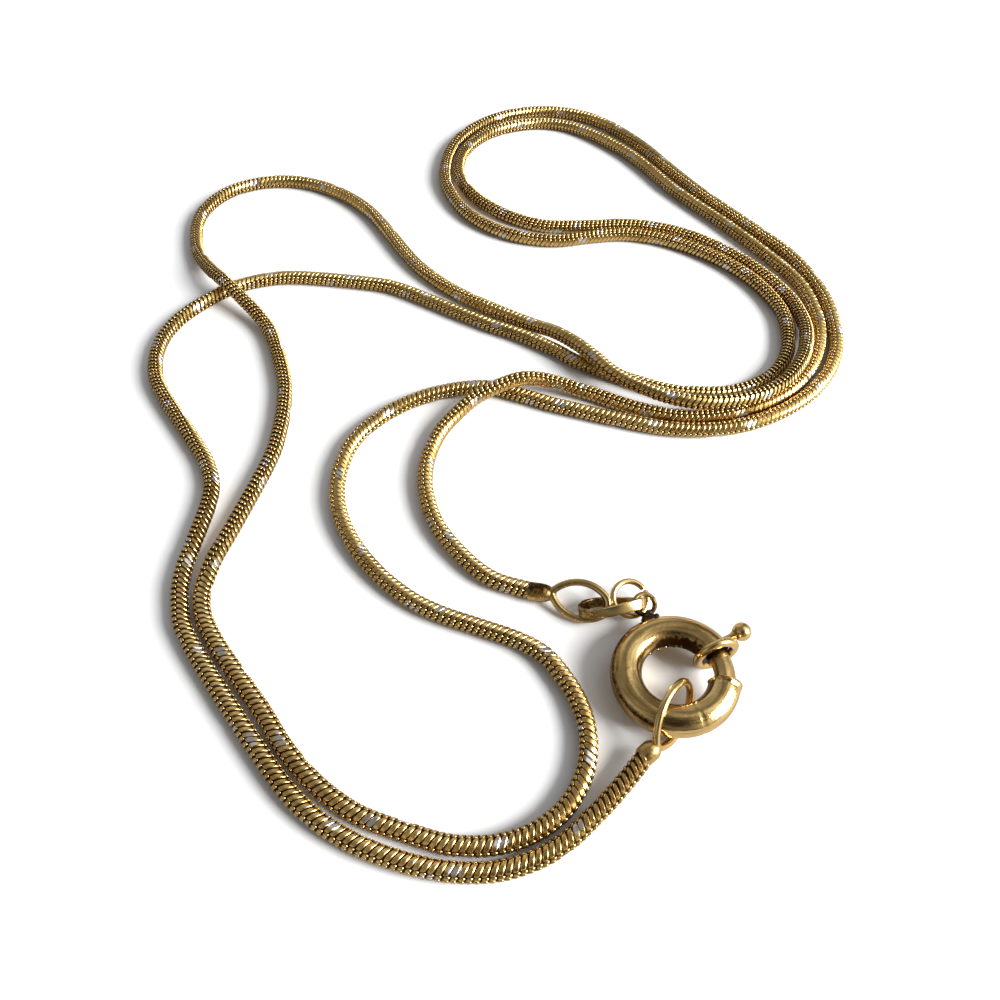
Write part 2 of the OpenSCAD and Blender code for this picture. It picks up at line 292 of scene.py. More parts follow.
def goldMaterial(name, look):
    m = bpy.data.materials.new(name)
    m.use_nodes = True
    tree = m.node_tree
    shader = tree.nodes["Principled BSDF"]
    shader.inputs["Metallic"].default_value = 1.0
    shader.inputs["Coat Weight"].default_value = look["coat"]
    shader.inputs["Coat Roughness"].default_value = finishLook["coatRough"]
    place = tree.nodes.new("ShaderNodeTexCoord").outputs["Object"]
    g = tree.nodes.new("ShaderNodeGroup")
    g.node_tree = oldGold
    tree.links.new(place, g.inputs["Vector"])
    for key in ("Bright", "Dull", "Brown"):
        if key in look:
            g.inputs[key].default_value = (*look[key], 1)
    for key in ("Recess", "Patches", "Smooth", "Worn"):
        if key in look:
            g.inputs[key].default_value = look[key]
    if "centre" in look:
        middle = tree.nodes.new("ShaderNodeMapping")
        middle.vector_type = "TEXTURE"
        location, spin, _ = look["centre"].decompose()
        middle.inputs["Location"].default_value = location * mm
        middle.inputs["Rotation"].default_value = spin.to_euler()
        tree.links.new(place, middle.inputs["Vector"])
        lines = tree.nodes.new("ShaderNodeGroup")
        lines.node_tree = polishAndReflectionLines
        tree.links.new(middle.outputs["Vector"], lines.inputs["Vector"])
        tree.links.new(lines.outputs["Lines"], g.inputs["Lines"])
    if look.get("painted"):
        hold = tree.nodes.new("ShaderNodeAttribute")
        hold.attribute_name = "recess"
        tree.links.new(hold.outputs["Fac"], g.inputs["Recess"])
    tree.links.new(g.outputs["Color"], shader.inputs["Base Color"])
    tree.links.new(g.outputs["Roughness"], shader.inputs["Roughness"])
    bump = tree.nodes.new("ShaderNodeBump")
    bump.inputs["Distance"].default_value = look.get("bump", finishLook["bump"])
    bump.inputs["Strength"].default_value = finishLook["bumpShare"]
    tree.links.new(g.outputs["Height"], bump.inputs["Height"])
    tree.links.new(bump.outputs["Normal"], shader.inputs["Normal"])
    return m, tree, shader, g


paperLook = {"roughness": 0.75, "specular": 0.2, "fibre": (40, 3),
             "white": ((0.87, 0.87, 0.87), (0.9, 0.9, 0.9)),
             "toMetal": (0.42, 0.41, 0.39)}   # darker for the metal, as in a brightened photograph
floorPaper = bpy.data.materials.new("floorPaper")
floorPaper.use_nodes = True
paper = floorPaper.node_tree
paperShader = paper.nodes["Principled BSDF"]
paperShader.inputs["Roughness"].default_value = paperLook["roughness"]
paperShader.inputs["Specular IOR Level"].default_value = paperLook["specular"]
paperAt = paper.nodes.new("ShaderNodeTexCoord").outputs["Object"]
paperWhite = mixColour(paper, noise(paper, paperAt, *paperLook["fibre"]), *paperLook["white"])
seen = paper.nodes.new("ShaderNodeLightPath").outputs["Is Camera Ray"]
paper.links.new(mixColour(paper, seen, paperLook["toMetal"], paperWhite),
                paperShader.inputs["Base Color"])
floor.data.materials.append(floorPaper)
print("materials ready")


# The chain's route in millimetres, from the oval eye to the long eye; a point without a
# height lies on the floor

lying = 0.58   # the height of the chain's middle line there

endAtOvalEye = [
    (2.4, -21.66), (-0.3, -20.7), (-2.4, -18.8), (-4.2, -16.2),
    (-5.1, -13.2), (-5.1, -10.4), (-4.3, -7.8, 0.66), (-3.1, -6.1, 0.86),
    (-1.6, -4.7, 1.26), (0.4, -3.8, 1.72), (2.1, -3.2, 1.76), (4.2, -2.9, 1.16),
    (7.3, -3.7, 0.62), (10.8, -5.3), (13.9, -6.1), (17, -6)]
firstRightBend = [
    (19.9, -5.1), (22.5, -3.6), (24.6, -1.5), (26.1, 1.2),
    (26.9, 4.2), (26.9, 7.2), (26.4, 9.9), (25.1, 12.6),
    (21.9, 17.7), (18.4, 22.5), (16.7, 25), (15.3, 27.6)]
firstTopLoop = [
    (13.6, 30.3), (11.7, 32.6), (9.5, 34.7), (7, 36.2),
    (4.2, 36.6), (1.3, 35.9), (-1.3, 34.3), (-3.1, 31.8),
    (-3.9, 29), (-3.7, 26.1), (-2.5, 23.4), (-0.6, 21.1),
    (1.8, 19.3), (4.6, 18.2), (8.6, 18.2), (11.6, 18.4),
    (14.5, 18), (17.3, 16.9)]
secondRightBend = [
    (19.6, 15.3), (22, 13), (23.8, 10.5), (25.1, 7.8, 0.64),
    (25.5, 5.4, 0.84), (25.4, 2.9, 1.1), (24.6, 0.2, 1.4), (23.4, -2, 1.66),
    (21.9, -3.8, 1.8), (20, -5, 1.82), (18, -5.6, 1.82), (15.6, -5.8, 1.82),
    (13.3, -5.3, 1.8), (11.1, -4.2, 1.8), (9.1, -2.7, 1.8), (7.6, -0.8, 1.8),
    (6.3, 0.9, 1.64), (4.6, 2.8, 1.22)]
leftLoop = [
    (2.5, 4.5, 0.66), (-1.7, 7.2), (-4.1, 9), (-6.2, 11.1),
    (-8, 13.5), (-11, 18.7), (-12.7, 21.1), (-14.9, 23.2),
    (-17.5, 24.8), (-20.3, 25.6), (-23.3, 25.4), (-26, 24),
    (-27.7, 21.6), (-28.2, 18.7), (-27.5, 15, 0.62), (-26.3, 12.5, 0.92),
    (-24.8, 10.2, 1.5), (-23.3, 8.4, 1.82), (-21.6, 6.7, 1.36), (-20, 5, 0.88),
    (-18.6, 2.8, 0.62)]
innerLongCurve = [
    (-17, -1.8), (-16.5, -4.7), (-16.4, -7.7), (-16.7, -10.7),
    (-18.2, -16.5), (-19, -19.4), (-19.1, -22.4), (-17.8, -25.1),
    (-14, -29.8), (-12.2, -32.2), (-10.1, -34.3), (-7.7, -35.9),
    (-4.9, -36.9), (-2, -37.6), (1, -37.3), (3.6, -35.8),
    (5.1, -33.3), (5.2, -30.4), (4, -27.6), (1.9, -25.5),
    (-3.7, -23.3), (-6.2, -21.8), (-8.4, -19.7), (-10.1, -17.3),
    (-11.2, -14.5), (-11.4, -11.5), (-10.7, -8.6), (-8.9, -6.2),
    (-6.5, -4.4), (-3.7, -3.3), (-0.8, -3), (2, -3.9),
    (4.8, -5), (10.6, -6.8), (13.5, -7.4)]
thirdRightBend = [
    (16.5, -7.4), (19.5, -6.7), (22.3, -5.3), (24.6, -3.5),
    (26.5, -1.1), (27.7, 1.6), (28.2, 4.6), (28.2, 7.6),
    (27.6, 10.6), (26.6, 13.3), (25.1, 15.9), (19.9, 23.3),
    (16.9, 28.4), (15.5, 31), (13.8, 33.6), (11.9, 35.9)]
secondTopLoop = [
    (9.6, 37.8), (6.8, 38.9), (3.8, 39), (0.9, 38.2),
    (-1.6, 36.5), (-3.6, 34.2), (-4.8, 31.5), (-5.3, 28.5),
    (-5.2, 25.6), (-4.3, 22.7), (-2.8, 20.1), (-0.6, 18),
    (2, 16.6), (5.4, 16), (8.9, 16.6), (11.8, 16.9),
    (14.8, 16.3)]
fourthRightBend = [
    (17.5, 15), (19.9, 13.2), (21.9, 11), (23.4, 8.4),
    (24.2, 5.6), (24, 2.6), (23, -0.2), (21, -2.3),
    (18.3, -3.5), (15.3, -3.6), (12.4, -3), (7, -0.4),
    (4.7, 1.3), (2.1, 3)]
endAtLongEye = [
    (-0.7, 4.4), (-3.1, 5.8), (-8.3, 8.9), (-11.2, 9.8),
    (-17.1, 10.6), (-20.1, 10.4), (-22.9, 9.3), (-25.1, 7.4),
    (-26.9, 4.9), (-27.7, 2.1), (-27.4, -0.9), (-26.2, -3.6),
    (-22.7, -8.5), (-21.1, -11), (-20.3, -13.9), (-20.8, -19.9),
    (-20.4, -22.8), (-19.1, -25.5), (-13.5, -32.6), (-10.8, -35.5),
    (-8.2, -37.2), (-5.4, -38.3), (-2.5, -38.9), (0.5, -38.8),
    (3.3, -37.7, 0.6), (5.6, -35.8, 0.68), (7.2, -34.2, 0.82), (8.36, -32.9, 0.96)]
route = [Vector((*p, lying)[:3]) for p in
         endAtOvalEye + firstRightBend + firstTopLoop + secondRightBend + leftLoop
         + innerLongCurve + thirdRightBend + secondTopLoop + fourthRightBend + endAtLongEye]


def smoothLine(points, steps):  # a smooth line through the points
    padded = [2 * points[0] - points[1]] + points + [2 * points[-1] - points[-2]]
    line = []
    for i in range(len(points) - 1):
        a, b, c, d = padded[i:i + 4]
        for k in range(steps):
            t = k / steps
            line.append(0.5 * (2 * b + (c - a) * t + (2 * a - 5 * b + 4 * c - d) * t * t
                               + (3 * b - a - 3 * c + d) * t ** 3))
    return line + [points[-1]]


# Each pair is a place along the chain in millimetres and how far it is twisted there in degrees
twist = (
    (0, 10), (13, 41), (25, 80), (34, 76), (49, 55), (58, 20), (80, -20), (100, -60), (112, -36),
    (122, -60), (140, -70), (162, -62), (184, -12), (201, -110), (215, -52), (233, -50), (250, -79),
    (258, -84), (271, -74), (277, -10), (293, 10), (313, 15), (334, 14), (341, 30), (359, 8),
    (375, 40), (392, 30), (411, 40), (437, -61), (464, -94), (490, -80), (508, -60), (530, -10),
    (538, 5), (548, -1), (553, -50), (567, -84), (573, -50), (579, -60), (584, -41), (590, -20),
    (604, -11), (625, 7))

chain = {
    "radius": 0.575,      # to the crown of a link
    "pitch": 0.40,        # from one link to the next
    "stepsPerPoint": 9,   # of the smooth line
    "endBead": 61,        # degrees from a broad link's middle to the bead at its end
    "lean": 0.2546,       # millimetres along the chain for each radian round it
    "shingle": 0.034,     # how far one edge of a link rises and the other sinks
    "taper": (4.5, 0.42), "pole": 0.99,                   # how a link narrows to its two ends
    # how much brown a link's top, sides and underside get, and where the top and underside begin:
    # tarnish in the grooves, and painted shade on the sides and underside
    "grime": {"top": 0.0, "side": 0.5, "under": 0.95, "topHigh": 0.6, "topEnd": 0.8, "low": -0.2},
    "core": 0.505,        # radius of the dark core, which paints the shade seen between the links
    "wobble": ((0.012, 2.7), (0.009, 7.3)),               # size and rate from link to link
    "cutEvery": 3.6, "cutHalf": 0.46, "cutDepth": 0.07,   # the flat facets
    # how unevenly they lie along and round the chain: size and rate
    "cutDrift": (0.35, 3.1), "cutTurn": (0.25, 1.7),
    "looseEnd": 6.0, "looseOver": 3, "looseSlim": 0.24,   # the links stand apart at the long eye
    "parts": 4,
}
# A link's width and depth are halves, and its reach is the degrees that it covers to each side
broadLink = {"segments": 8, "rings": 8, "wide": 0.189, "deep": 0.078, "reach": 47,
             "square": 0.58, "lift": 0.05, "liftFrom": 0.6, "flatTop": True}
smallBead = {"segments": 6, "rings": 4, "wide": 0.178, "deep": 0.078, "reach": 15,
             "square": 0.85, "lift": 0, "liftFrom": 0.6, "flatTop": False}

line = smoothLine(route, chain["stepsPerPoint"])
travel = [0.0]
for a, b in zip(line, line[1:]):
    travel.append(travel[-1] + (b - a).length)
chainLength = travel[-1]


def twistAt(s):
    for (a, low), (b, high) in zip(twist, twist[1:]):
        if s <= b:
            t = max(0.0, (s - a) / (b - a))
            return low + (high - low) * t * t * (3 - 2 * t)
    return twist[-1][1]


def routeCurve(name, thick=0.0):
    data = bpy.data.curves.new(name, "CURVE")
    data.dimensions = "3D"
    data.twist_mode = "Z_UP"
    spline = data.splines.new("POLY")
    spline.points.add(len(line) - 1)
    for p, v, s in zip(spline.points, line, travel):
        p.co = (v.x * mm, v.y * mm, v.z * mm, 1)
        p.tilt = math.radians(twistAt(s))
    data.bevel_depth = thick * mm
    data.bevel_resolution = 1
    data.use_fill_caps = True
    obj = bpy.data.objects.new(name, data)
    bpy.context.scene.collection.objects.link(obj)
    return obj


def squared(part, power):  # draws a sine or cosine out toward a square
    return math.copysign(abs(part) ** power, part)


# One link of the weave: a ball that is squared, drawn out, leaned over and bent round the chain
def linkShape(shape):
    r = chain["radius"] - shape["deep"]
    segments = shape["segments"]
    cleanStart()
    bpy.ops.mesh.primitive_uv_sphere_add(segments=segments, ring_count=shape["rings"], radius=1,
                                         rotation=(math.pi / 2, 0, 0))
    link = bpy.context.object
    settle(link)
    for title in ("recess", "middle", "cut"):
        link.data.attributes.new(title, "FLOAT", "POINT")
    recess = link.data.attributes["recess"].data
    middle = link.data.attributes["middle"].data
    grime = chain["grime"]
    ends, rounding = chain["taper"]
    # a flat top lies between the two corners nearest to straight up
    half = math.pi / segments if shape["flatTop"] else 0
    topCorners = {90: [], 90 - 360 // segments: []}
    for v in link.data.vertices:
        end = min(1.0, abs(v.co.y))
        around = math.atan2(v.co.z, v.co.x) + half
        topCorners.get(round(math.degrees(around - half)), []).append(v.index)
        full = (1 - end ** ends) ** rounding if end < chain["pole"] else 0
        x = squared(math.cos(around), shape["square"]) * full
        z = squared(math.sin(around), shape["square"]) * full
        # painted shade: a link's sides and underside turn brown, together with the tarnish in its
        # grooves
        if z > grime["topHigh"] * full and end < grime["topEnd"]:
            recess[v.index].value = grime["top"]
        else:
            recess[v.index].value = grime["under"] if z < grime["low"] else grime["side"]
        turn = v.co.y * math.radians(shape["reach"])
        out = r + shape["deep"] * z + chain["shingle"] * x
        out += shape["lift"] * max(0.0, end - shape["liftFrom"])
        along = chain["lean"] * turn
        middle[v.index].value = along
        v.co = (shape["wide"] * x + along, out * math.sin(turn), out * math.cos(turn))
    if shape["flatTop"]:
        for e in link.data.edges:
            e.use_edge_sharp = any(set(e.vertices) <= set(row) for row in topCorners.values())
    return link


def linkCell():  # two broad links and six beads, the weave's repeat
    bar, bead = linkShape(broadLink), linkShape(smallBead)
    cell = [bar]
    near = chain["endBead"]
    for first, turn, ahead in ((bar, 180, 0), (bead, 90, 0.5), (bead, 270, 0.5), (bead, near, 0),
                               (bead, -near, 0), (bead, 180 + near, 0), (bead, 180 - near, 0)):
        only(first)
        bpy.ops.object.duplicate()
        other = bpy.context.object
        # a bead at the end of a broad link lies where that link's lean takes it
        along = chain["pitch"] * ahead
        if first is bead and not ahead:
            along = chain["lean"] * math.radians((turn + 90) % 180 - 90)
        other.rotation_euler = (math.radians(turn), 0, 0)
        other.location = (along, 0, 0)
        settle(other)
        for m in other.data.attributes["middle"].data:
            m.value += along
        cell.append(other)
    bpy.data.objects.remove(bead)
    return joinAll(cell)


def cutFacet(x, y, z):  # a point above one of the facets comes down to it
    wasCut = False
    (drift, driftRate), (sway, swayRate) = chain["cutDrift"], chain["cutTurn"]
    for shift, first in ((0, math.pi / 2), (0.5, 0)):
        turnNo = round(x / chain["cutEvery"] - shift)
        middle = (turnNo + shift) * chain["cutEvery"]
        off = (x - middle - drift * math.sin(turnNo * driftRate)) / chain["cutHalf"]
        if abs(off) >= 1:
            continue
        # the facets lie on one side and the other in turn
        turn = first + math.pi * (turnNo % 2) + sway * math.sin(turnNo * swayRate + first)
        level = chain["radius"] - chain["cutDepth"] * (1 - off ** 4)
        high = y * math.cos(turn) + z * math.sin(turn)
        if high > level:
            y += math.cos(turn) * (level - high)
            z += math.sin(turn) * (level - high)
            wasCut = True
    return y, z, wasCut


chainGold, chainTree, chainShader, chainGroup = goldMaterial(
    "wovenGold", {"Bright": (0.88, 0.60, 0.225), "Dull": (0.56, 0.335, 0.08),
                  "Brown": (0.04, 0.012, 0.001), "Smooth": 0.2, "Worn": 0.25, "Patches": 0.65,
                  "painted": True, "coat": 0.25, "bump": 0.000004})
facet = {"colour": (0.76, 0.72, 0.66), "roughness": (0.3, 0.3, 0.3),   # paler metal
         "scuffs": (3800, 4), "scuffed": (0.3, 0.62), "shown": (0.1, 0.5)}
cutMark = chainTree.nodes.new("ShaderNodeAttribute")
cutMark.attribute_name = "cut"
cutAt = chainTree.nodes.new("ShaderNodeTexCoord").outputs["Object"]
scuffs = span(chainTree, noise(chainTree, cutAt, *facet["scuffs"]), *facet["scuffed"])
scuffed = maths(chainTree, "MULTIPLY", cutMark.outputs["Fac"], scuffs)
pale = span(chainTree, scuffed, *facet["shown"])
for socket, title, value in (("Color", "Base Color", facet["colour"]),
                             ("Roughness", "Roughness", facet["roughness"])):
    chainTree.links.new(mixColour(chainTree, pale, chainGroup.outputs[socket], value),
                        chainShader.inputs[title])
# painted shade: a dark core inside the chain stands for the shade seen between the links
coreShade = goldMaterial("coreShade", {"Bright": (0.11, 0.045, 0.01), "Dull": (0.06, 0.024, 0.005),
                                     "Smooth": 0.45, "Recess": 0.5, "coat": 0.0})[0]

routeLine = routeCurve("chainRoute")
count = int(chainLength / chain["pitch"])
pitch = chainLength / count
cell = linkCell()
cellSize = len(cell.data.vertices)
share = math.ceil(count / chain["parts"])
made = 0
chainPieces = []
while made < count:
    n = min(share, count - made)
    only(cell)
    bpy.ops.object.duplicate()
    piece = bpy.context.object
    piece.name = "chainWeave" + "ABCD"[len(chainPieces)]
    rows = piece.modifiers.new("links", "ARRAY")
    rows.count = n
    rows.use_relative_offset = False
    rows.use_constant_offset = True
    rows.constant_offset_displace = (pitch, 0, 0)
    applyAll(piece)
    cut = piece.data.attributes["cut"].data
    middle = piece.data.attributes["middle"].data
    recess = piece.data.attributes["recess"].data
    for v in piece.data.vertices:
        k = v.index // cellSize
        row = made + k
        axis = k * pitch + middle[v.index].value
        fromLoose = row * pitch - chainLength + chain["looseEnd"]
        apart = min(1.0, max(0.0, fromLoose / chain["looseOver"]))
        wobble = sum(size * math.sin(row * rate) for size, rate in chain["wobble"])
        x = ((made + 0.5) * pitch + axis
             + (v.co.x - axis) * (1 - chain["looseSlim"] * apart) + wobble)
        fatter = 1 + 0.5 * wobble
        y, z, wasCut = cutFacet(x, v.co.y * fatter, v.co.z * fatter)
        if wasCut:
            cut[v.index].value = 1.0
            recess[v.index].value = 0.0
        v.co = (x * mm, y * mm, z * mm)
    only(piece)
    bpy.ops.object.shade_smooth()
    bend = piece.modifiers.new("lie", "CURVE")
    bend.object = routeLine
    bend.deform_axis = "POS_X"
    applyAll(piece)
    piece.data.attributes.remove(piece.data.attributes["middle"])
    piece.data.materials.append(chainGold)
    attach(piece, "necklace")
    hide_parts("snake_chain")
    chainPieces.append(piece)
    made += n
bpy.data.objects.remove(cell)

core = routeCurve("chainCore", chain["core"])
only(core)
bpy.ops.object.convert(target="MESH")
core = bpy.context.object
core.data.materials.append(coreShade)
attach(core, "necklace")
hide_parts("snake_chain")
bpy.data.objects.remove(routeLine)
print("chain laid:", count, "links,", sum(len(p.data.polygons) for p in chainPieces), "faces")


# Shapes that the clasp's pieces share

wireSection = {"points": 20, "square": 0.85}   # of every drawn wire


def wireAlong(points, wide, deep, closed=False, ends=(1, 1)):
    section = bpy.data.curves.new("section", "CURVE")
    rim = section.splines.new("POLY")
    rim.points.add(wireSection["points"] - 1)
    rim.use_cyclic_u = True
    for i, p in enumerate(rim.points):
        a = i * math.pi / (wireSection["points"] / 2)
        p.co = (wide * squared(math.cos(a), wireSection["square"]),
                deep * squared(math.sin(a), wireSection["square"]), 0, 1)
    sectionObj = bpy.data.objects.new("section", section)
    bpy.context.scene.collection.objects.link(sectionObj)
    data = bpy.data.curves.new("wire", "CURVE")
    data.dimensions = "3D"
    data.twist_mode = "Z_UP"
    data.bevel_mode = "OBJECT"
    data.bevel_object = sectionObj
    data.use_fill_caps = not closed
    spline = data.splines.new("POLY")
    spline.points.add(len(points) - 1)
    spline.use_cyclic_u = closed
    for p, co in zip(spline.points, points):
        p.co = (*co, 1)
    spline.points[0].radius, spline.points[-1].radius = ends
    obj = bpy.data.objects.new("wire", data)
    bpy.context.scene.collection.objects.link(obj)
    only(obj)
    bpy.ops.object.convert(target="MESH")
    bpy.data.objects.remove(sectionObj)
    obj = bpy.context.object
    closeUp(obj)
    return obj


def arc(centre, radius, start, end, steps):
    angles = [math.radians(start + (end - start) * i / steps) for i in range(steps + 1)]
    return [(centre[0] + radius * math.cos(a), centre[1] + radius * math.sin(a), 0)
            for a in angles]


# Two side arcs that meet in a point, and a rounded end: sides of 3, 4 and 5 times the swell
# join the middles of the arcs, so that the arcs run into each other
def eyeLine(endRadius, swell, steps=20):
    turn = math.degrees(math.atan2(4, 3))
    side = endRadius + 5 * swell
    tip = 180 - math.degrees(math.asin(4 * swell / side))
    return (arc((0, 4 * swell), side, -tip, -turn, steps)
            + arc((3 * swell, 0), endRadius, -turn, turn, steps)[1:-1]
            + arc((0, -4 * swell), side, turn, tip, steps))


def lathe(profile, steps=40):  # radius and height pairs, turned about Z
    data = bpy.data.meshes.new("profile")
    joins = [(i, i + 1) for i in range(len(profile) - 1)]
    data.from_pydata([(r, 0, h) for r, h in profile], joins, [])
    obj = bpy.data.objects.new("profile", data)
    bpy.context.scene.collection.objects.link(obj)
    turn = obj.modifiers.new("turn", "SCREW")
    turn.steps = steps
    turn.render_steps = steps
    turn.use_merge_vertices = True
    applyAll(obj)
    closeUp(obj)
    return obj


def between(start, end):  # a frame at the start whose Z runs to the end
    start, end = Vector(start), Vector(end)
    return Matrix.Translation(start) @ (end - start).to_track_quat("Z", "Y").to_matrix().to_4x4()


def soften(obj, width, sharpFrom):  # rounds the edges that are sharper than an angle
    soft = obj.modifiers.new("soft", "BEVEL")
    soft.width = width
    soft.segments = 3
    soft.limit_method = "ANGLE"
    soft.angle_limit = math.radians(sharpFrom)


def thicken(obj, thickness, offset):
    wall = obj.modifiers.new("wall", "SOLIDIFY")
    wall.thickness = thickness
    wall.offset = offset


def paint(obj, rule):  # how much brown each point gets: grime, and on some pieces painted shade and a painted dark reflection
    mark = obj.data.attributes.new("recess", "FLOAT", "POINT")
    for v in obj.data.vertices:
        mark.data[v.index].value = rule(v.co)


def ball(size, place, subdivisions):
    cleanStart()
    bpy.ops.mesh.primitive_ico_sphere_add(subdivisions=subdivisions, radius=size, location=place)
    settle(bpy.context.object)
    return bpy.context.object


# The bolt ring: a bent tube with a slot, a slanted round flange at its mouth and a rolled lip

ring = {
    "place": (10.67, -28, 1.49), "lean": 3.5, "leanToward": -10,
    "radius": 2.93, "tube": 0.97, "wall": 0.27, "steps": 160, "sides": 48,
    "mouth": 26.5, "lip": -12.5,                        # degrees round the ring
    "slotFrom": 30.5, "slotTo": 78.5, "slotHigh": 15,   # and up the tube
    "soft": 0.045, "softFrom": 50,
    # degrees along the ring, then millimetres
    "rimWide": 4.6, "rimHigh": 0.05, "rimFull": 1.3,    # the rolled lip
    "necking": 3, "neckingDeep": 0.02,                  # behind it
    "seam": -71, "seamHalf": 1.2, "seamDeep": 0.03,
    "flats": 7, "flatsTurn": 0.25, "flatDeep": 0.016,   # left by the polishing
}
ringFrame = (turned(ring["place"], (0, 0, ring["leanToward"])) @ spun((0, -ring["lean"], 0))
             @ spun((0, 0, -ring["leanToward"])))

claspLook = {"Bright": (0.86, 0.595, 0.24), "Dull": (0.54, 0.32, 0.085),
             "Brown": (0.04, 0.014, 0.002), "Smooth": 0.14, "Worn": 0.35, "Patches": 0.55,
             "painted": True, "coat": 0.15}
# the ring's dark Dull colour paints its streaks: polish lines and painted reflections
ringGold = goldMaterial("ringGold", {**claspLook, "Dull": (0.36, 0.205, 0.05), "Smooth": 0.12,
                                     "centre": ringFrame, "bump": 0.000016})[0]
wireGold = goldMaterial("wireGold", {**claspLook, "Patches": 0.3})[0]
capGold = goldMaterial("capGold", {**claspLook, "Bright": (0.72, 0.48, 0.18), "Patches": 0.8,
                                   "Smooth": 0.2, "bump": 0.00002})[0]
solderBlack = goldMaterial("solderBlack", {
    "Bright": (0.07, 0.045, 0.028), "Dull": (0.02, 0.013, 0.01), "Brown": (0.012, 0.009, 0.007),
    "Recess": 0.35, "Smooth": 0.32, "coat": 0.1, "bump": 0.00004})[0]


# The angle round the ring, the angle round the tube and the distance from the tube's middle line
def tubeSpot(co):
    out = math.hypot(co.x, co.y) - ring["radius"]
    return (math.degrees(math.atan2(co.y, co.x)), math.degrees(math.atan2(co.z, out)),
            math.hypot(out, co.z))


def spinRound(start, sweep, steps):  # the selected ring of points is swept back round the ring
    obj = bpy.context.object
    settle(obj)
    obj.rotation_euler = (0, 0, math.radians(start))
    settle(obj)
    bpy.ops.object.mode_set(mode="EDIT")
    bpy.ops.mesh.select_all(action="SELECT")
    bpy.ops.mesh.spin(steps=steps, angle=-math.radians(sweep), center=(0, 0, 0), axis=(0, 0, 1))
    bpy.ops.object.mode_set(mode="OBJECT")
    closeUp(obj)
    return obj


# Where the tube is browned: grime, full painted shade in its bore and a painted dark reflection
# within its outer edge; angles round the ring and round the tube, reaches in degrees
tubeGrimeAndShade = {
    "bore": 0.8,          # millimetres from the tube's middle; inside it the bore is painted in full shade
    "inner": {"at": 172, "reach": 72, "middle": 40, "narrows": 0.32},   # the side toward the middle
    "top": {"at": 76, "reach": 64, "full": 2.0, "level": 1.7},
    "flange": {"reach": 7, "level": 0.9},
    "solder": {"at": (105, 0), "reach": 26, "level": 1.0},
    # painted reflection: a dark line within the ring's outer edge
    "edge": {"at": 33, "reach": 20, "level": 0.95, "middle": 195, "half": 55, "fades": 0.6,
             "over": 20},
    "wander": {"size": (5, 14), "share": 0.35, "less": 0.05},
}


def grimeAndShadeOnTube(co):
    a, b, r = tubeSpot(co)
    # painted shade: the bore inside the tube is brown in full
    if r < tubeGrimeAndShade["bore"]:
        return 1.0
    inner, top, edge = tubeGrimeAndShade["inner"], tubeGrimeAndShade["top"], tubeGrimeAndShade["edge"]
    reach = inner["reach"] - inner["narrows"] * abs(a - inner["middle"])
    inside = max(0.0, 1 - abs((b % 360) - inner["at"]) / reach)
    above = max(0.0, 1 - abs(a - top["at"]) / top["reach"])
    level = top["level"] * inside * min(1.0, top["full"] * above)
    flangeGrime, solderGrime = tubeGrimeAndShade["flange"], tubeGrimeAndShade["solder"]
    level = max(level, flangeGrime["level"] - abs(a - ring["mouth"]) / flangeGrime["reach"],
                solderGrime["level"] - math.dist((a, b), solderGrime["at"]) / solderGrime["reach"])
    # a painted dark reflection: a line within the ring's outer edge
    past = max(0.0, abs((a % 360) - edge["middle"]) - edge["half"])
    dark = edge["level"] - edge["fades"] * past / edge["over"] - abs(b - edge["at"]) / edge["reach"]
    wide, high = tubeGrimeAndShade["wander"]["size"]
    wander = bumps.noise(Vector((a / wide, b / high, 1)))
    level = level + tubeGrimeAndShade["wander"]["share"] * wander - tubeGrimeAndShade["wander"]["less"]
    return min(1.0, max(0.0, level, dark))


def makeRingTube():
    cleanStart()
    bpy.ops.mesh.primitive_circle_add(vertices=ring["sides"], radius=ring["tube"],
                                      location=(ring["radius"], 0, 0), rotation=(math.pi / 2, 0, 0))
    tube = spinRound(ring["mouth"], 360 + ring["lip"] - ring["mouth"], ring["steps"])
    for v in tube.data.vertices:
        a, b, r = tubeSpot(v.co)
        fromLip = (ring["lip"] - a) % 360
        grow = 0.0
        if fromLip < ring["rimWide"]:
            t = fromLip / ring["rimWide"]
            grow = ring["rimHigh"] * math.sqrt(max(0.0, 1 - (2 * t - 1) ** 2)) * ring["rimFull"]
        elif fromLip < ring["rimWide"] + ring["necking"]:
            grow = -ring["neckingDeep"]
        if abs(a - ring["seam"]) < ring["seamHalf"]:
            grow = -ring["seamDeep"]
        polished = ring["flats"] * b + ring["flatsTurn"] * a
        grow -= ring["flatDeep"] * (1 + math.cos(math.radians(polished)))
        scale = (r + grow) / r
        out = math.hypot(v.co.x, v.co.y)
        far = ring["radius"] + (out - ring["radius"]) * scale
        v.co.x, v.co.y, v.co.z = v.co.x * far / out, v.co.y * far / out, v.co.z * scale
    only(tube)
    bpy.ops.object.mode_set(mode="EDIT")
    bpy.ops.mesh.select_all(action="DESELECT")
    bpy.ops.mesh.select_mode(type="FACE")
    bpy.ops.object.mode_set(mode="OBJECT")
    for f in tube.data.polygons:
        a, b, r = tubeSpot(f.center)
        f.select = ring["slotFrom"] < a < ring["slotTo"] and abs(b) < ring["slotHigh"]
    bpy.ops.object.mode_set(mode="EDIT")
    bpy.ops.mesh.delete(type="FACE")
    bpy.ops.object.mode_set(mode="OBJECT")
    thicken(tube, ring["wall"], -1)
    soften(tube, ring["soft"], ring["softFrom"])
    applyAll(tube)
    paint(tube, grimeAndShadeOnTube)
    finish(tube, "ringTube", ringFrame, ringGold, "bolt_ring")


flange = {"radius": 1.22, "wire": 0.28, "slant": -8, "steps": 72, "sides": 20,
          "high": 0.92, "uneven": 0.03, "tight": 0.985}


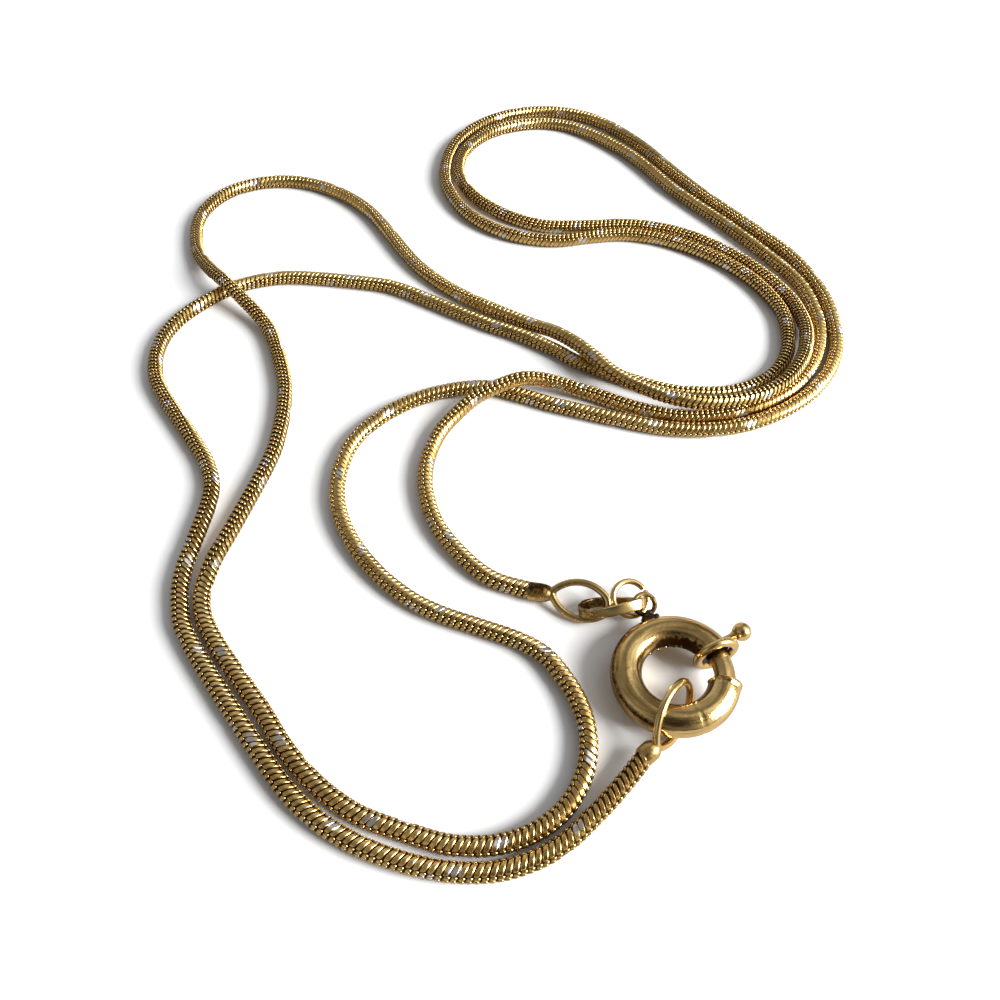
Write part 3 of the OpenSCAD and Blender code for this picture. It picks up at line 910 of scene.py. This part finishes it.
def makeFlange():
    cleanStart()
    bpy.ops.mesh.primitive_torus_add(major_radius=flange["radius"], minor_radius=flange["wire"],
                                     major_segments=flange["steps"], minor_segments=flange["sides"])
    disc = bpy.context.object
    for v in disc.data.vertices:
        around = math.atan2(v.co.y, v.co.x)
        inside = math.hypot(v.co.x, v.co.y) < flange["radius"]
        v.co.z *= flange["high"] + flange["uneven"] * math.sin(3 * around)
        if inside:
            v.co.x, v.co.y = v.co.x * flange["tight"], v.co.y * flange["tight"]

    def grimeOnFlange(co):  # from its inner edge outward
        out = (math.hypot(co.x, co.y) - flange["radius"] + flange["wire"]) / flange["wire"]
        return 0.75 - 1.2 * out + 0.15 * math.sin(9 * math.atan2(co.y, co.x))
    paint(disc, grimeOnFlange)
    mouth = math.radians(ring["mouth"])
    middle = (ring["radius"] * math.cos(mouth), ring["radius"] * math.sin(mouth), 0)
    place = ringFrame @ turned(middle, (90, 0, ring["mouth"] + flange["slant"]))
    finish(disc, "ringFlange", place, wireGold, "bolt_ring")


fixedEye = {"radius": 0.66, "wire": 0.15, "to": 354, "steps": 48,
            "at": 105.1, "out": (5.06, 0, 0.06), "lean": -23.3}


def makeFixedEye():
    points = arc((0, 0), fixedEye["radius"], 0, fixedEye["to"], fixedEye["steps"])
    eye = wireAlong(points, fixedEye["wire"], fixedEye["wire"], closed=True)
    paint(eye, lambda co: 0.75 - 0.35 * co.x)
    lean = turned(fixedEye["out"], (0, fixedEye["lean"], 0))
    place = ringFrame @ spun((0, 0, fixedEye["at"])) @ lean
    finish(eye, "fixedEye", place, wireGold, "bolt_ring")


solder = {
    "lumps": (((3.86, 0, -0.1), 0.42), ((4.2, 0.12, -0.12), 0.36), ((4.42, -0.1, -0.16), 0.3),
              ((3.95, -0.36, 0.02), 0.27), ((3.93, 0.38, 0.0), 0.25)),
    "voxel": 0.045, "rough": 0.05, "roughness": 5,
    "within": 0.82,   # it ends in the tube's wall, clear of the bolt
}


def makeSolder():  # a rough dark lump under the fixed eye, run onto the tube
    lump = joinAll([ball(size, place, 3) for place, size in solder["lumps"]])
    melt = lump.modifiers.new("melt", "REMESH")
    melt.mode = "VOXEL"
    melt.voxel_size = solder["voxel"]
    applyAll(lump)
    for v in lump.data.vertices:
        v.co += v.normal * solder["rough"] * bumps.noise(v.co * solder["roughness"])
        deep = tubeSpot(v.co)[2]
        if deep < solder["within"]:
            middle = Vector((v.co.x, v.co.y, 0)).normalized() * ring["radius"]
            v.co = middle + (v.co - middle) * solder["within"] / deep
    closeUp(lump)
    place = ringFrame @ spun((0, 0, fixedEye["at"]))
    finish(lump, "blackSolder", place, solderBlack, "bolt_ring", crease=60)


innerBeads = {"count": 17, "from": 66, "step": 4.3, "height": 186, "size": 0.06,
              "uneven": {"from": (2.0, 2.3), "height": (9, 1.9), "size": (0.035, 4.1)},
              "rough": 0.02, "roughness": 14}


def makeBeads():  # small beads of metal and dirt along the inner edge at the top
    beads = []
    for i in range(innerBeads["count"]):
        off = {k: size * math.sin(i * rate) for k, (size, rate) in innerBeads["uneven"].items()}
        a = math.radians(innerBeads["from"] + innerBeads["step"] * i + off["from"])
        b = math.radians(innerBeads["height"] + off["height"])
        size = innerBeads["size"] + off["size"]
        out = ring["radius"] + ring["tube"] * math.cos(b)
        spot = (out * math.cos(a), out * math.sin(a), ring["tube"] * math.sin(b))
        beads.append(ball(size, spot, 2))
    joined = joinAll(beads)
    for v in joined.data.vertices:
        v.co += v.normal * innerBeads["rough"] * bumps.noise(v.co * innerBeads["roughness"])
    paint(joined, lambda co: 0.45 + 0.5 * math.sin(35 * math.atan2(co.y, co.x)))
    finish(joined, "innerBeads", ringFrame, wireGold, "bolt_ring", crease=60)


makeRingTube()
makeFlange()
makeFixedEye()
makeSolder()
makeBeads()
print("bolt ring made")


# The bolt inside the ring, with its stem and knob

bolt = {"wide": 0.62, "sides": 32, "from": -18.5, "sweep": 86, "steps": 48,
        "root": (2.35, 1.814, 0), "knob": (4.41, 2.756, 0), "stem": 0.2, "knobSize": 0.59,
        "neckBelow": 0.5,   # from the knob's middle down to its neck
        # radius and height along the stem up to the neck
        "neck": ((0.2, -0.5), (0.22, -0.22), (0.27, -0.14), (0.30, -0.06), (0.27, 0))}


# painted shade where the bar goes into the tube at the flange and at the lip; a darker band of
# grime along its inner side, like the tube's
def grimeAndShadeOnBolt(co):
    a, b, r = tubeSpot(co)
    atFlange = 0.95 - abs(a - 24) / 16
    atLip = 0.8 - abs(a - ring["lip"]) / 3
    inner = 0.55 * max(0.0, 1 - abs((b % 360) - 190) / 50)
    return max(atFlange, atLip, inner)


def makeBolt():
    cleanStart()
    bpy.ops.mesh.primitive_circle_add(vertices=bolt["sides"], radius=bolt["wide"], fill_type="NGON",
                                      location=(ring["radius"], 0, 0), rotation=(math.pi / 2, 0, 0))
    bar = spinRound(bolt["from"], bolt["sweep"], bolt["steps"])
    paint(bar, grimeAndShadeOnBolt)
    finish(bar, "boltBar", ringFrame, ringGold, "sliding_bolt", body="bolt")


def makeKnob():
    length = math.dist(bolt["root"], bolt["knob"])
    neck = length - bolt["neckBelow"]
    size = bolt["knobSize"]
    profile = [(0, 0), (bolt["stem"], 0)] + [(r, neck + up) for r, up in bolt["neck"]]
    for a in (math.pi * i / 24 for i in range(4, 25)):
        profile.append((size * math.sin(a), length - size * math.cos(a)))
    knob = lathe(profile)
    paint(knob, lambda co: 0.6 - abs(co.z - neck) / 0.25)
    finish(knob, "boltKnob", ringFrame @ between(bolt["root"], bolt["knob"]), wireGold,
           "sliding_bolt", body="bolt")


makeBolt()
makeKnob()
print("bolt made")


# The end caps and their eyes

ovalEye = {"end": 0.85, "swell": 0.3, "wide": 0.235, "deep": 0.2, "grime": 0.35,
           "place": ((5.41, -22.61, 1.01), (29.9, -2.2, -18.9)),
           "cap": 0.61, "sleeve": 0.5, "slope": 0.62, "capTopDark": 0.85,
           "from": (2.56, -21.72, 0.63), "to": (3.66, -21.92, 0.66)}
longEye = {"end": 1.19, "swell": 0.27, "wide": 0.21, "deep": 0.22, "grime": 0.2,
           "place": ((10.28, -30.49, 1.56), (64.3, -6.8, 58.7)),
           "cap": 0.6, "sleeve": 0.24, "slope": 0.42, "capTopDark": 0.3,
           "from": (8.48, -32.75, 1.02), "to": (9.17, -32.25, 1.27)}
# A cap's outline from its open end to its tip
capShape = {
    "mouth": ((0.09, -0.02), (0.04, 0), (0.01, 0.05)),   # in from the radius, up from the foot
    "belly": 0.2,                                        # share of the length
    "shoulder": ((0.99, 1.1), (0.93, 0.75), (0.8, 0.4), (0.62, 0.05)),   # shares of radius, slope
    "tip": ((0.48, 0.06), (0.36, 0.14), (0.2, 0.19), (0, 0.2)),   # share of the radius, height
}


def makeEye(eye, name, node):
    wire = wireAlong(eyeLine(eye["end"], eye["swell"]), eye["wide"], eye["deep"])
    far = 3 * eye["swell"] + eye["end"]

    def grimeOnEye(co):  # toward the cap, and in spots on its upper side
        towardCap = eye["grime"] * max(0.75 - 0.9 * (co.x + far) / far, 0.0)
        spots = eye["grime"] * (0.4 + 0.5 * bumps.noise(co * 2)) * (co.z > 0.3 * eye["deep"])
        return towardCap + spots
    paint(wire, grimeOnEye)
    finish(wire, name, turned(*eye["place"]), wireGold, node)


def makeCap(eye, name, node):
    length = math.dist(eye["from"], eye["to"])
    r, slope, foot = eye["cap"], eye["slope"], -eye["sleeve"]
    cap = lathe([(0, foot + capShape["mouth"][0][1])]
                + [(r - inward, foot + up) for inward, up in capShape["mouth"]]
                + [(r, capShape["belly"] * length)]
                + [(part * r, length - down * slope) for part, down in capShape["shoulder"]]
                + [(part * r, length + up) for part, up in capShape["tip"]])
    place = between(eye["from"], eye["to"])
    up = place.to_quaternion().inverted() @ Vector((0, 0.25, 1)).normalized()

    def capDarkerAbove(co):  # darker on the upper side, with an uneven tone from noise
        around = co.x * up.x + co.y * up.y
        return eye["capTopDark"] * (0.3 + 0.7 * around / r) + 0.25 * bumps.noise(co * 4)
    paint(cap, capDarkerAbove)
    finish(cap, name, place, capGold, node)


for eye, name, node in ((ovalEye, "ovalEye", "oval_eye_cap"), (longEye, "longEye", "long_eye_cap")):
    makeEye(eye, name + "Wire", node)
    makeCap(eye, name + "Cup", node)
print("caps and eyes made")


# The strip link, an oval hoop of flat strip turned about its length, and the jump ring

strip = {"long": 2.04, "wide": 0.96, "band": 0.66, "thick": 0.24, "twist": 15, "sides": 96,
         "soft": 0.06, "softFrom": 30,
         "place": ((7.32, -23.15, 1.22), (-42.5, -5.2, 4.5))}
jump = {"radius": 1.13, "wire": 0.195, "from": 100, "to": 455, "steps": 72, "ends": (0.9, 0.35),
        "place": ((8.57, -22.41, 0.95), (0, 20.5, -62.7))}


# painted shade on the hoop's inner face and its left end, with an uneven tone from noise
def shadeOnStrip(co):
    inside = (co.x / strip["long"]) ** 2 + (co.y / strip["wide"]) ** 2 < 1
    leftEnd = 0.5 * max(0.0, -co.x / strip["long"])
    return (0.5 if inside else 0.08) + leftEnd + 0.2 * bumps.noise(co * 2.5)


def makeStrip():
    cleanStart()
    bpy.ops.mesh.primitive_cylinder_add(vertices=strip["sides"], radius=1, depth=strip["band"],
                                        end_fill_type="NOTHING")
    hoop = bpy.context.object
    for v in hoop.data.vertices:
        a = math.atan2(v.co.y, v.co.x)
        x, y, h = strip["long"] * math.cos(a), strip["wide"] * math.sin(a), v.co.z
        t = math.radians(strip["twist"] * x / strip["long"])
        v.co = (x, y * math.cos(t) + h * math.sin(t), h * math.cos(t) - y * math.sin(t))
    thicken(hoop, strip["thick"], 0)
    soften(hoop, strip["soft"], strip["softFrom"])
    applyAll(hoop)
    closeUp(hoop)
    paint(hoop, shadeOnStrip)
    finish(hoop, "stripHoop", turned(*strip["place"]), wireGold, "strip_link")


def makeJump():
    points = arc((0, 0), jump["radius"], jump["from"], jump["to"], jump["steps"])
    wire = wireAlong(points, jump["wire"], jump["wire"], ends=jump["ends"])
    # painted shade: the wire is darker on its lower side, with an uneven tone from noise
    paint(wire, lambda co: 0.35 - 0.4 * co.z / jump["wire"] + 0.2 * bumps.noise(co * 3))
    finish(wire, "jumpRing", turned(*jump["place"]), wireGold, "jump_ring")


makeStrip()
makeJump()
print("links made")
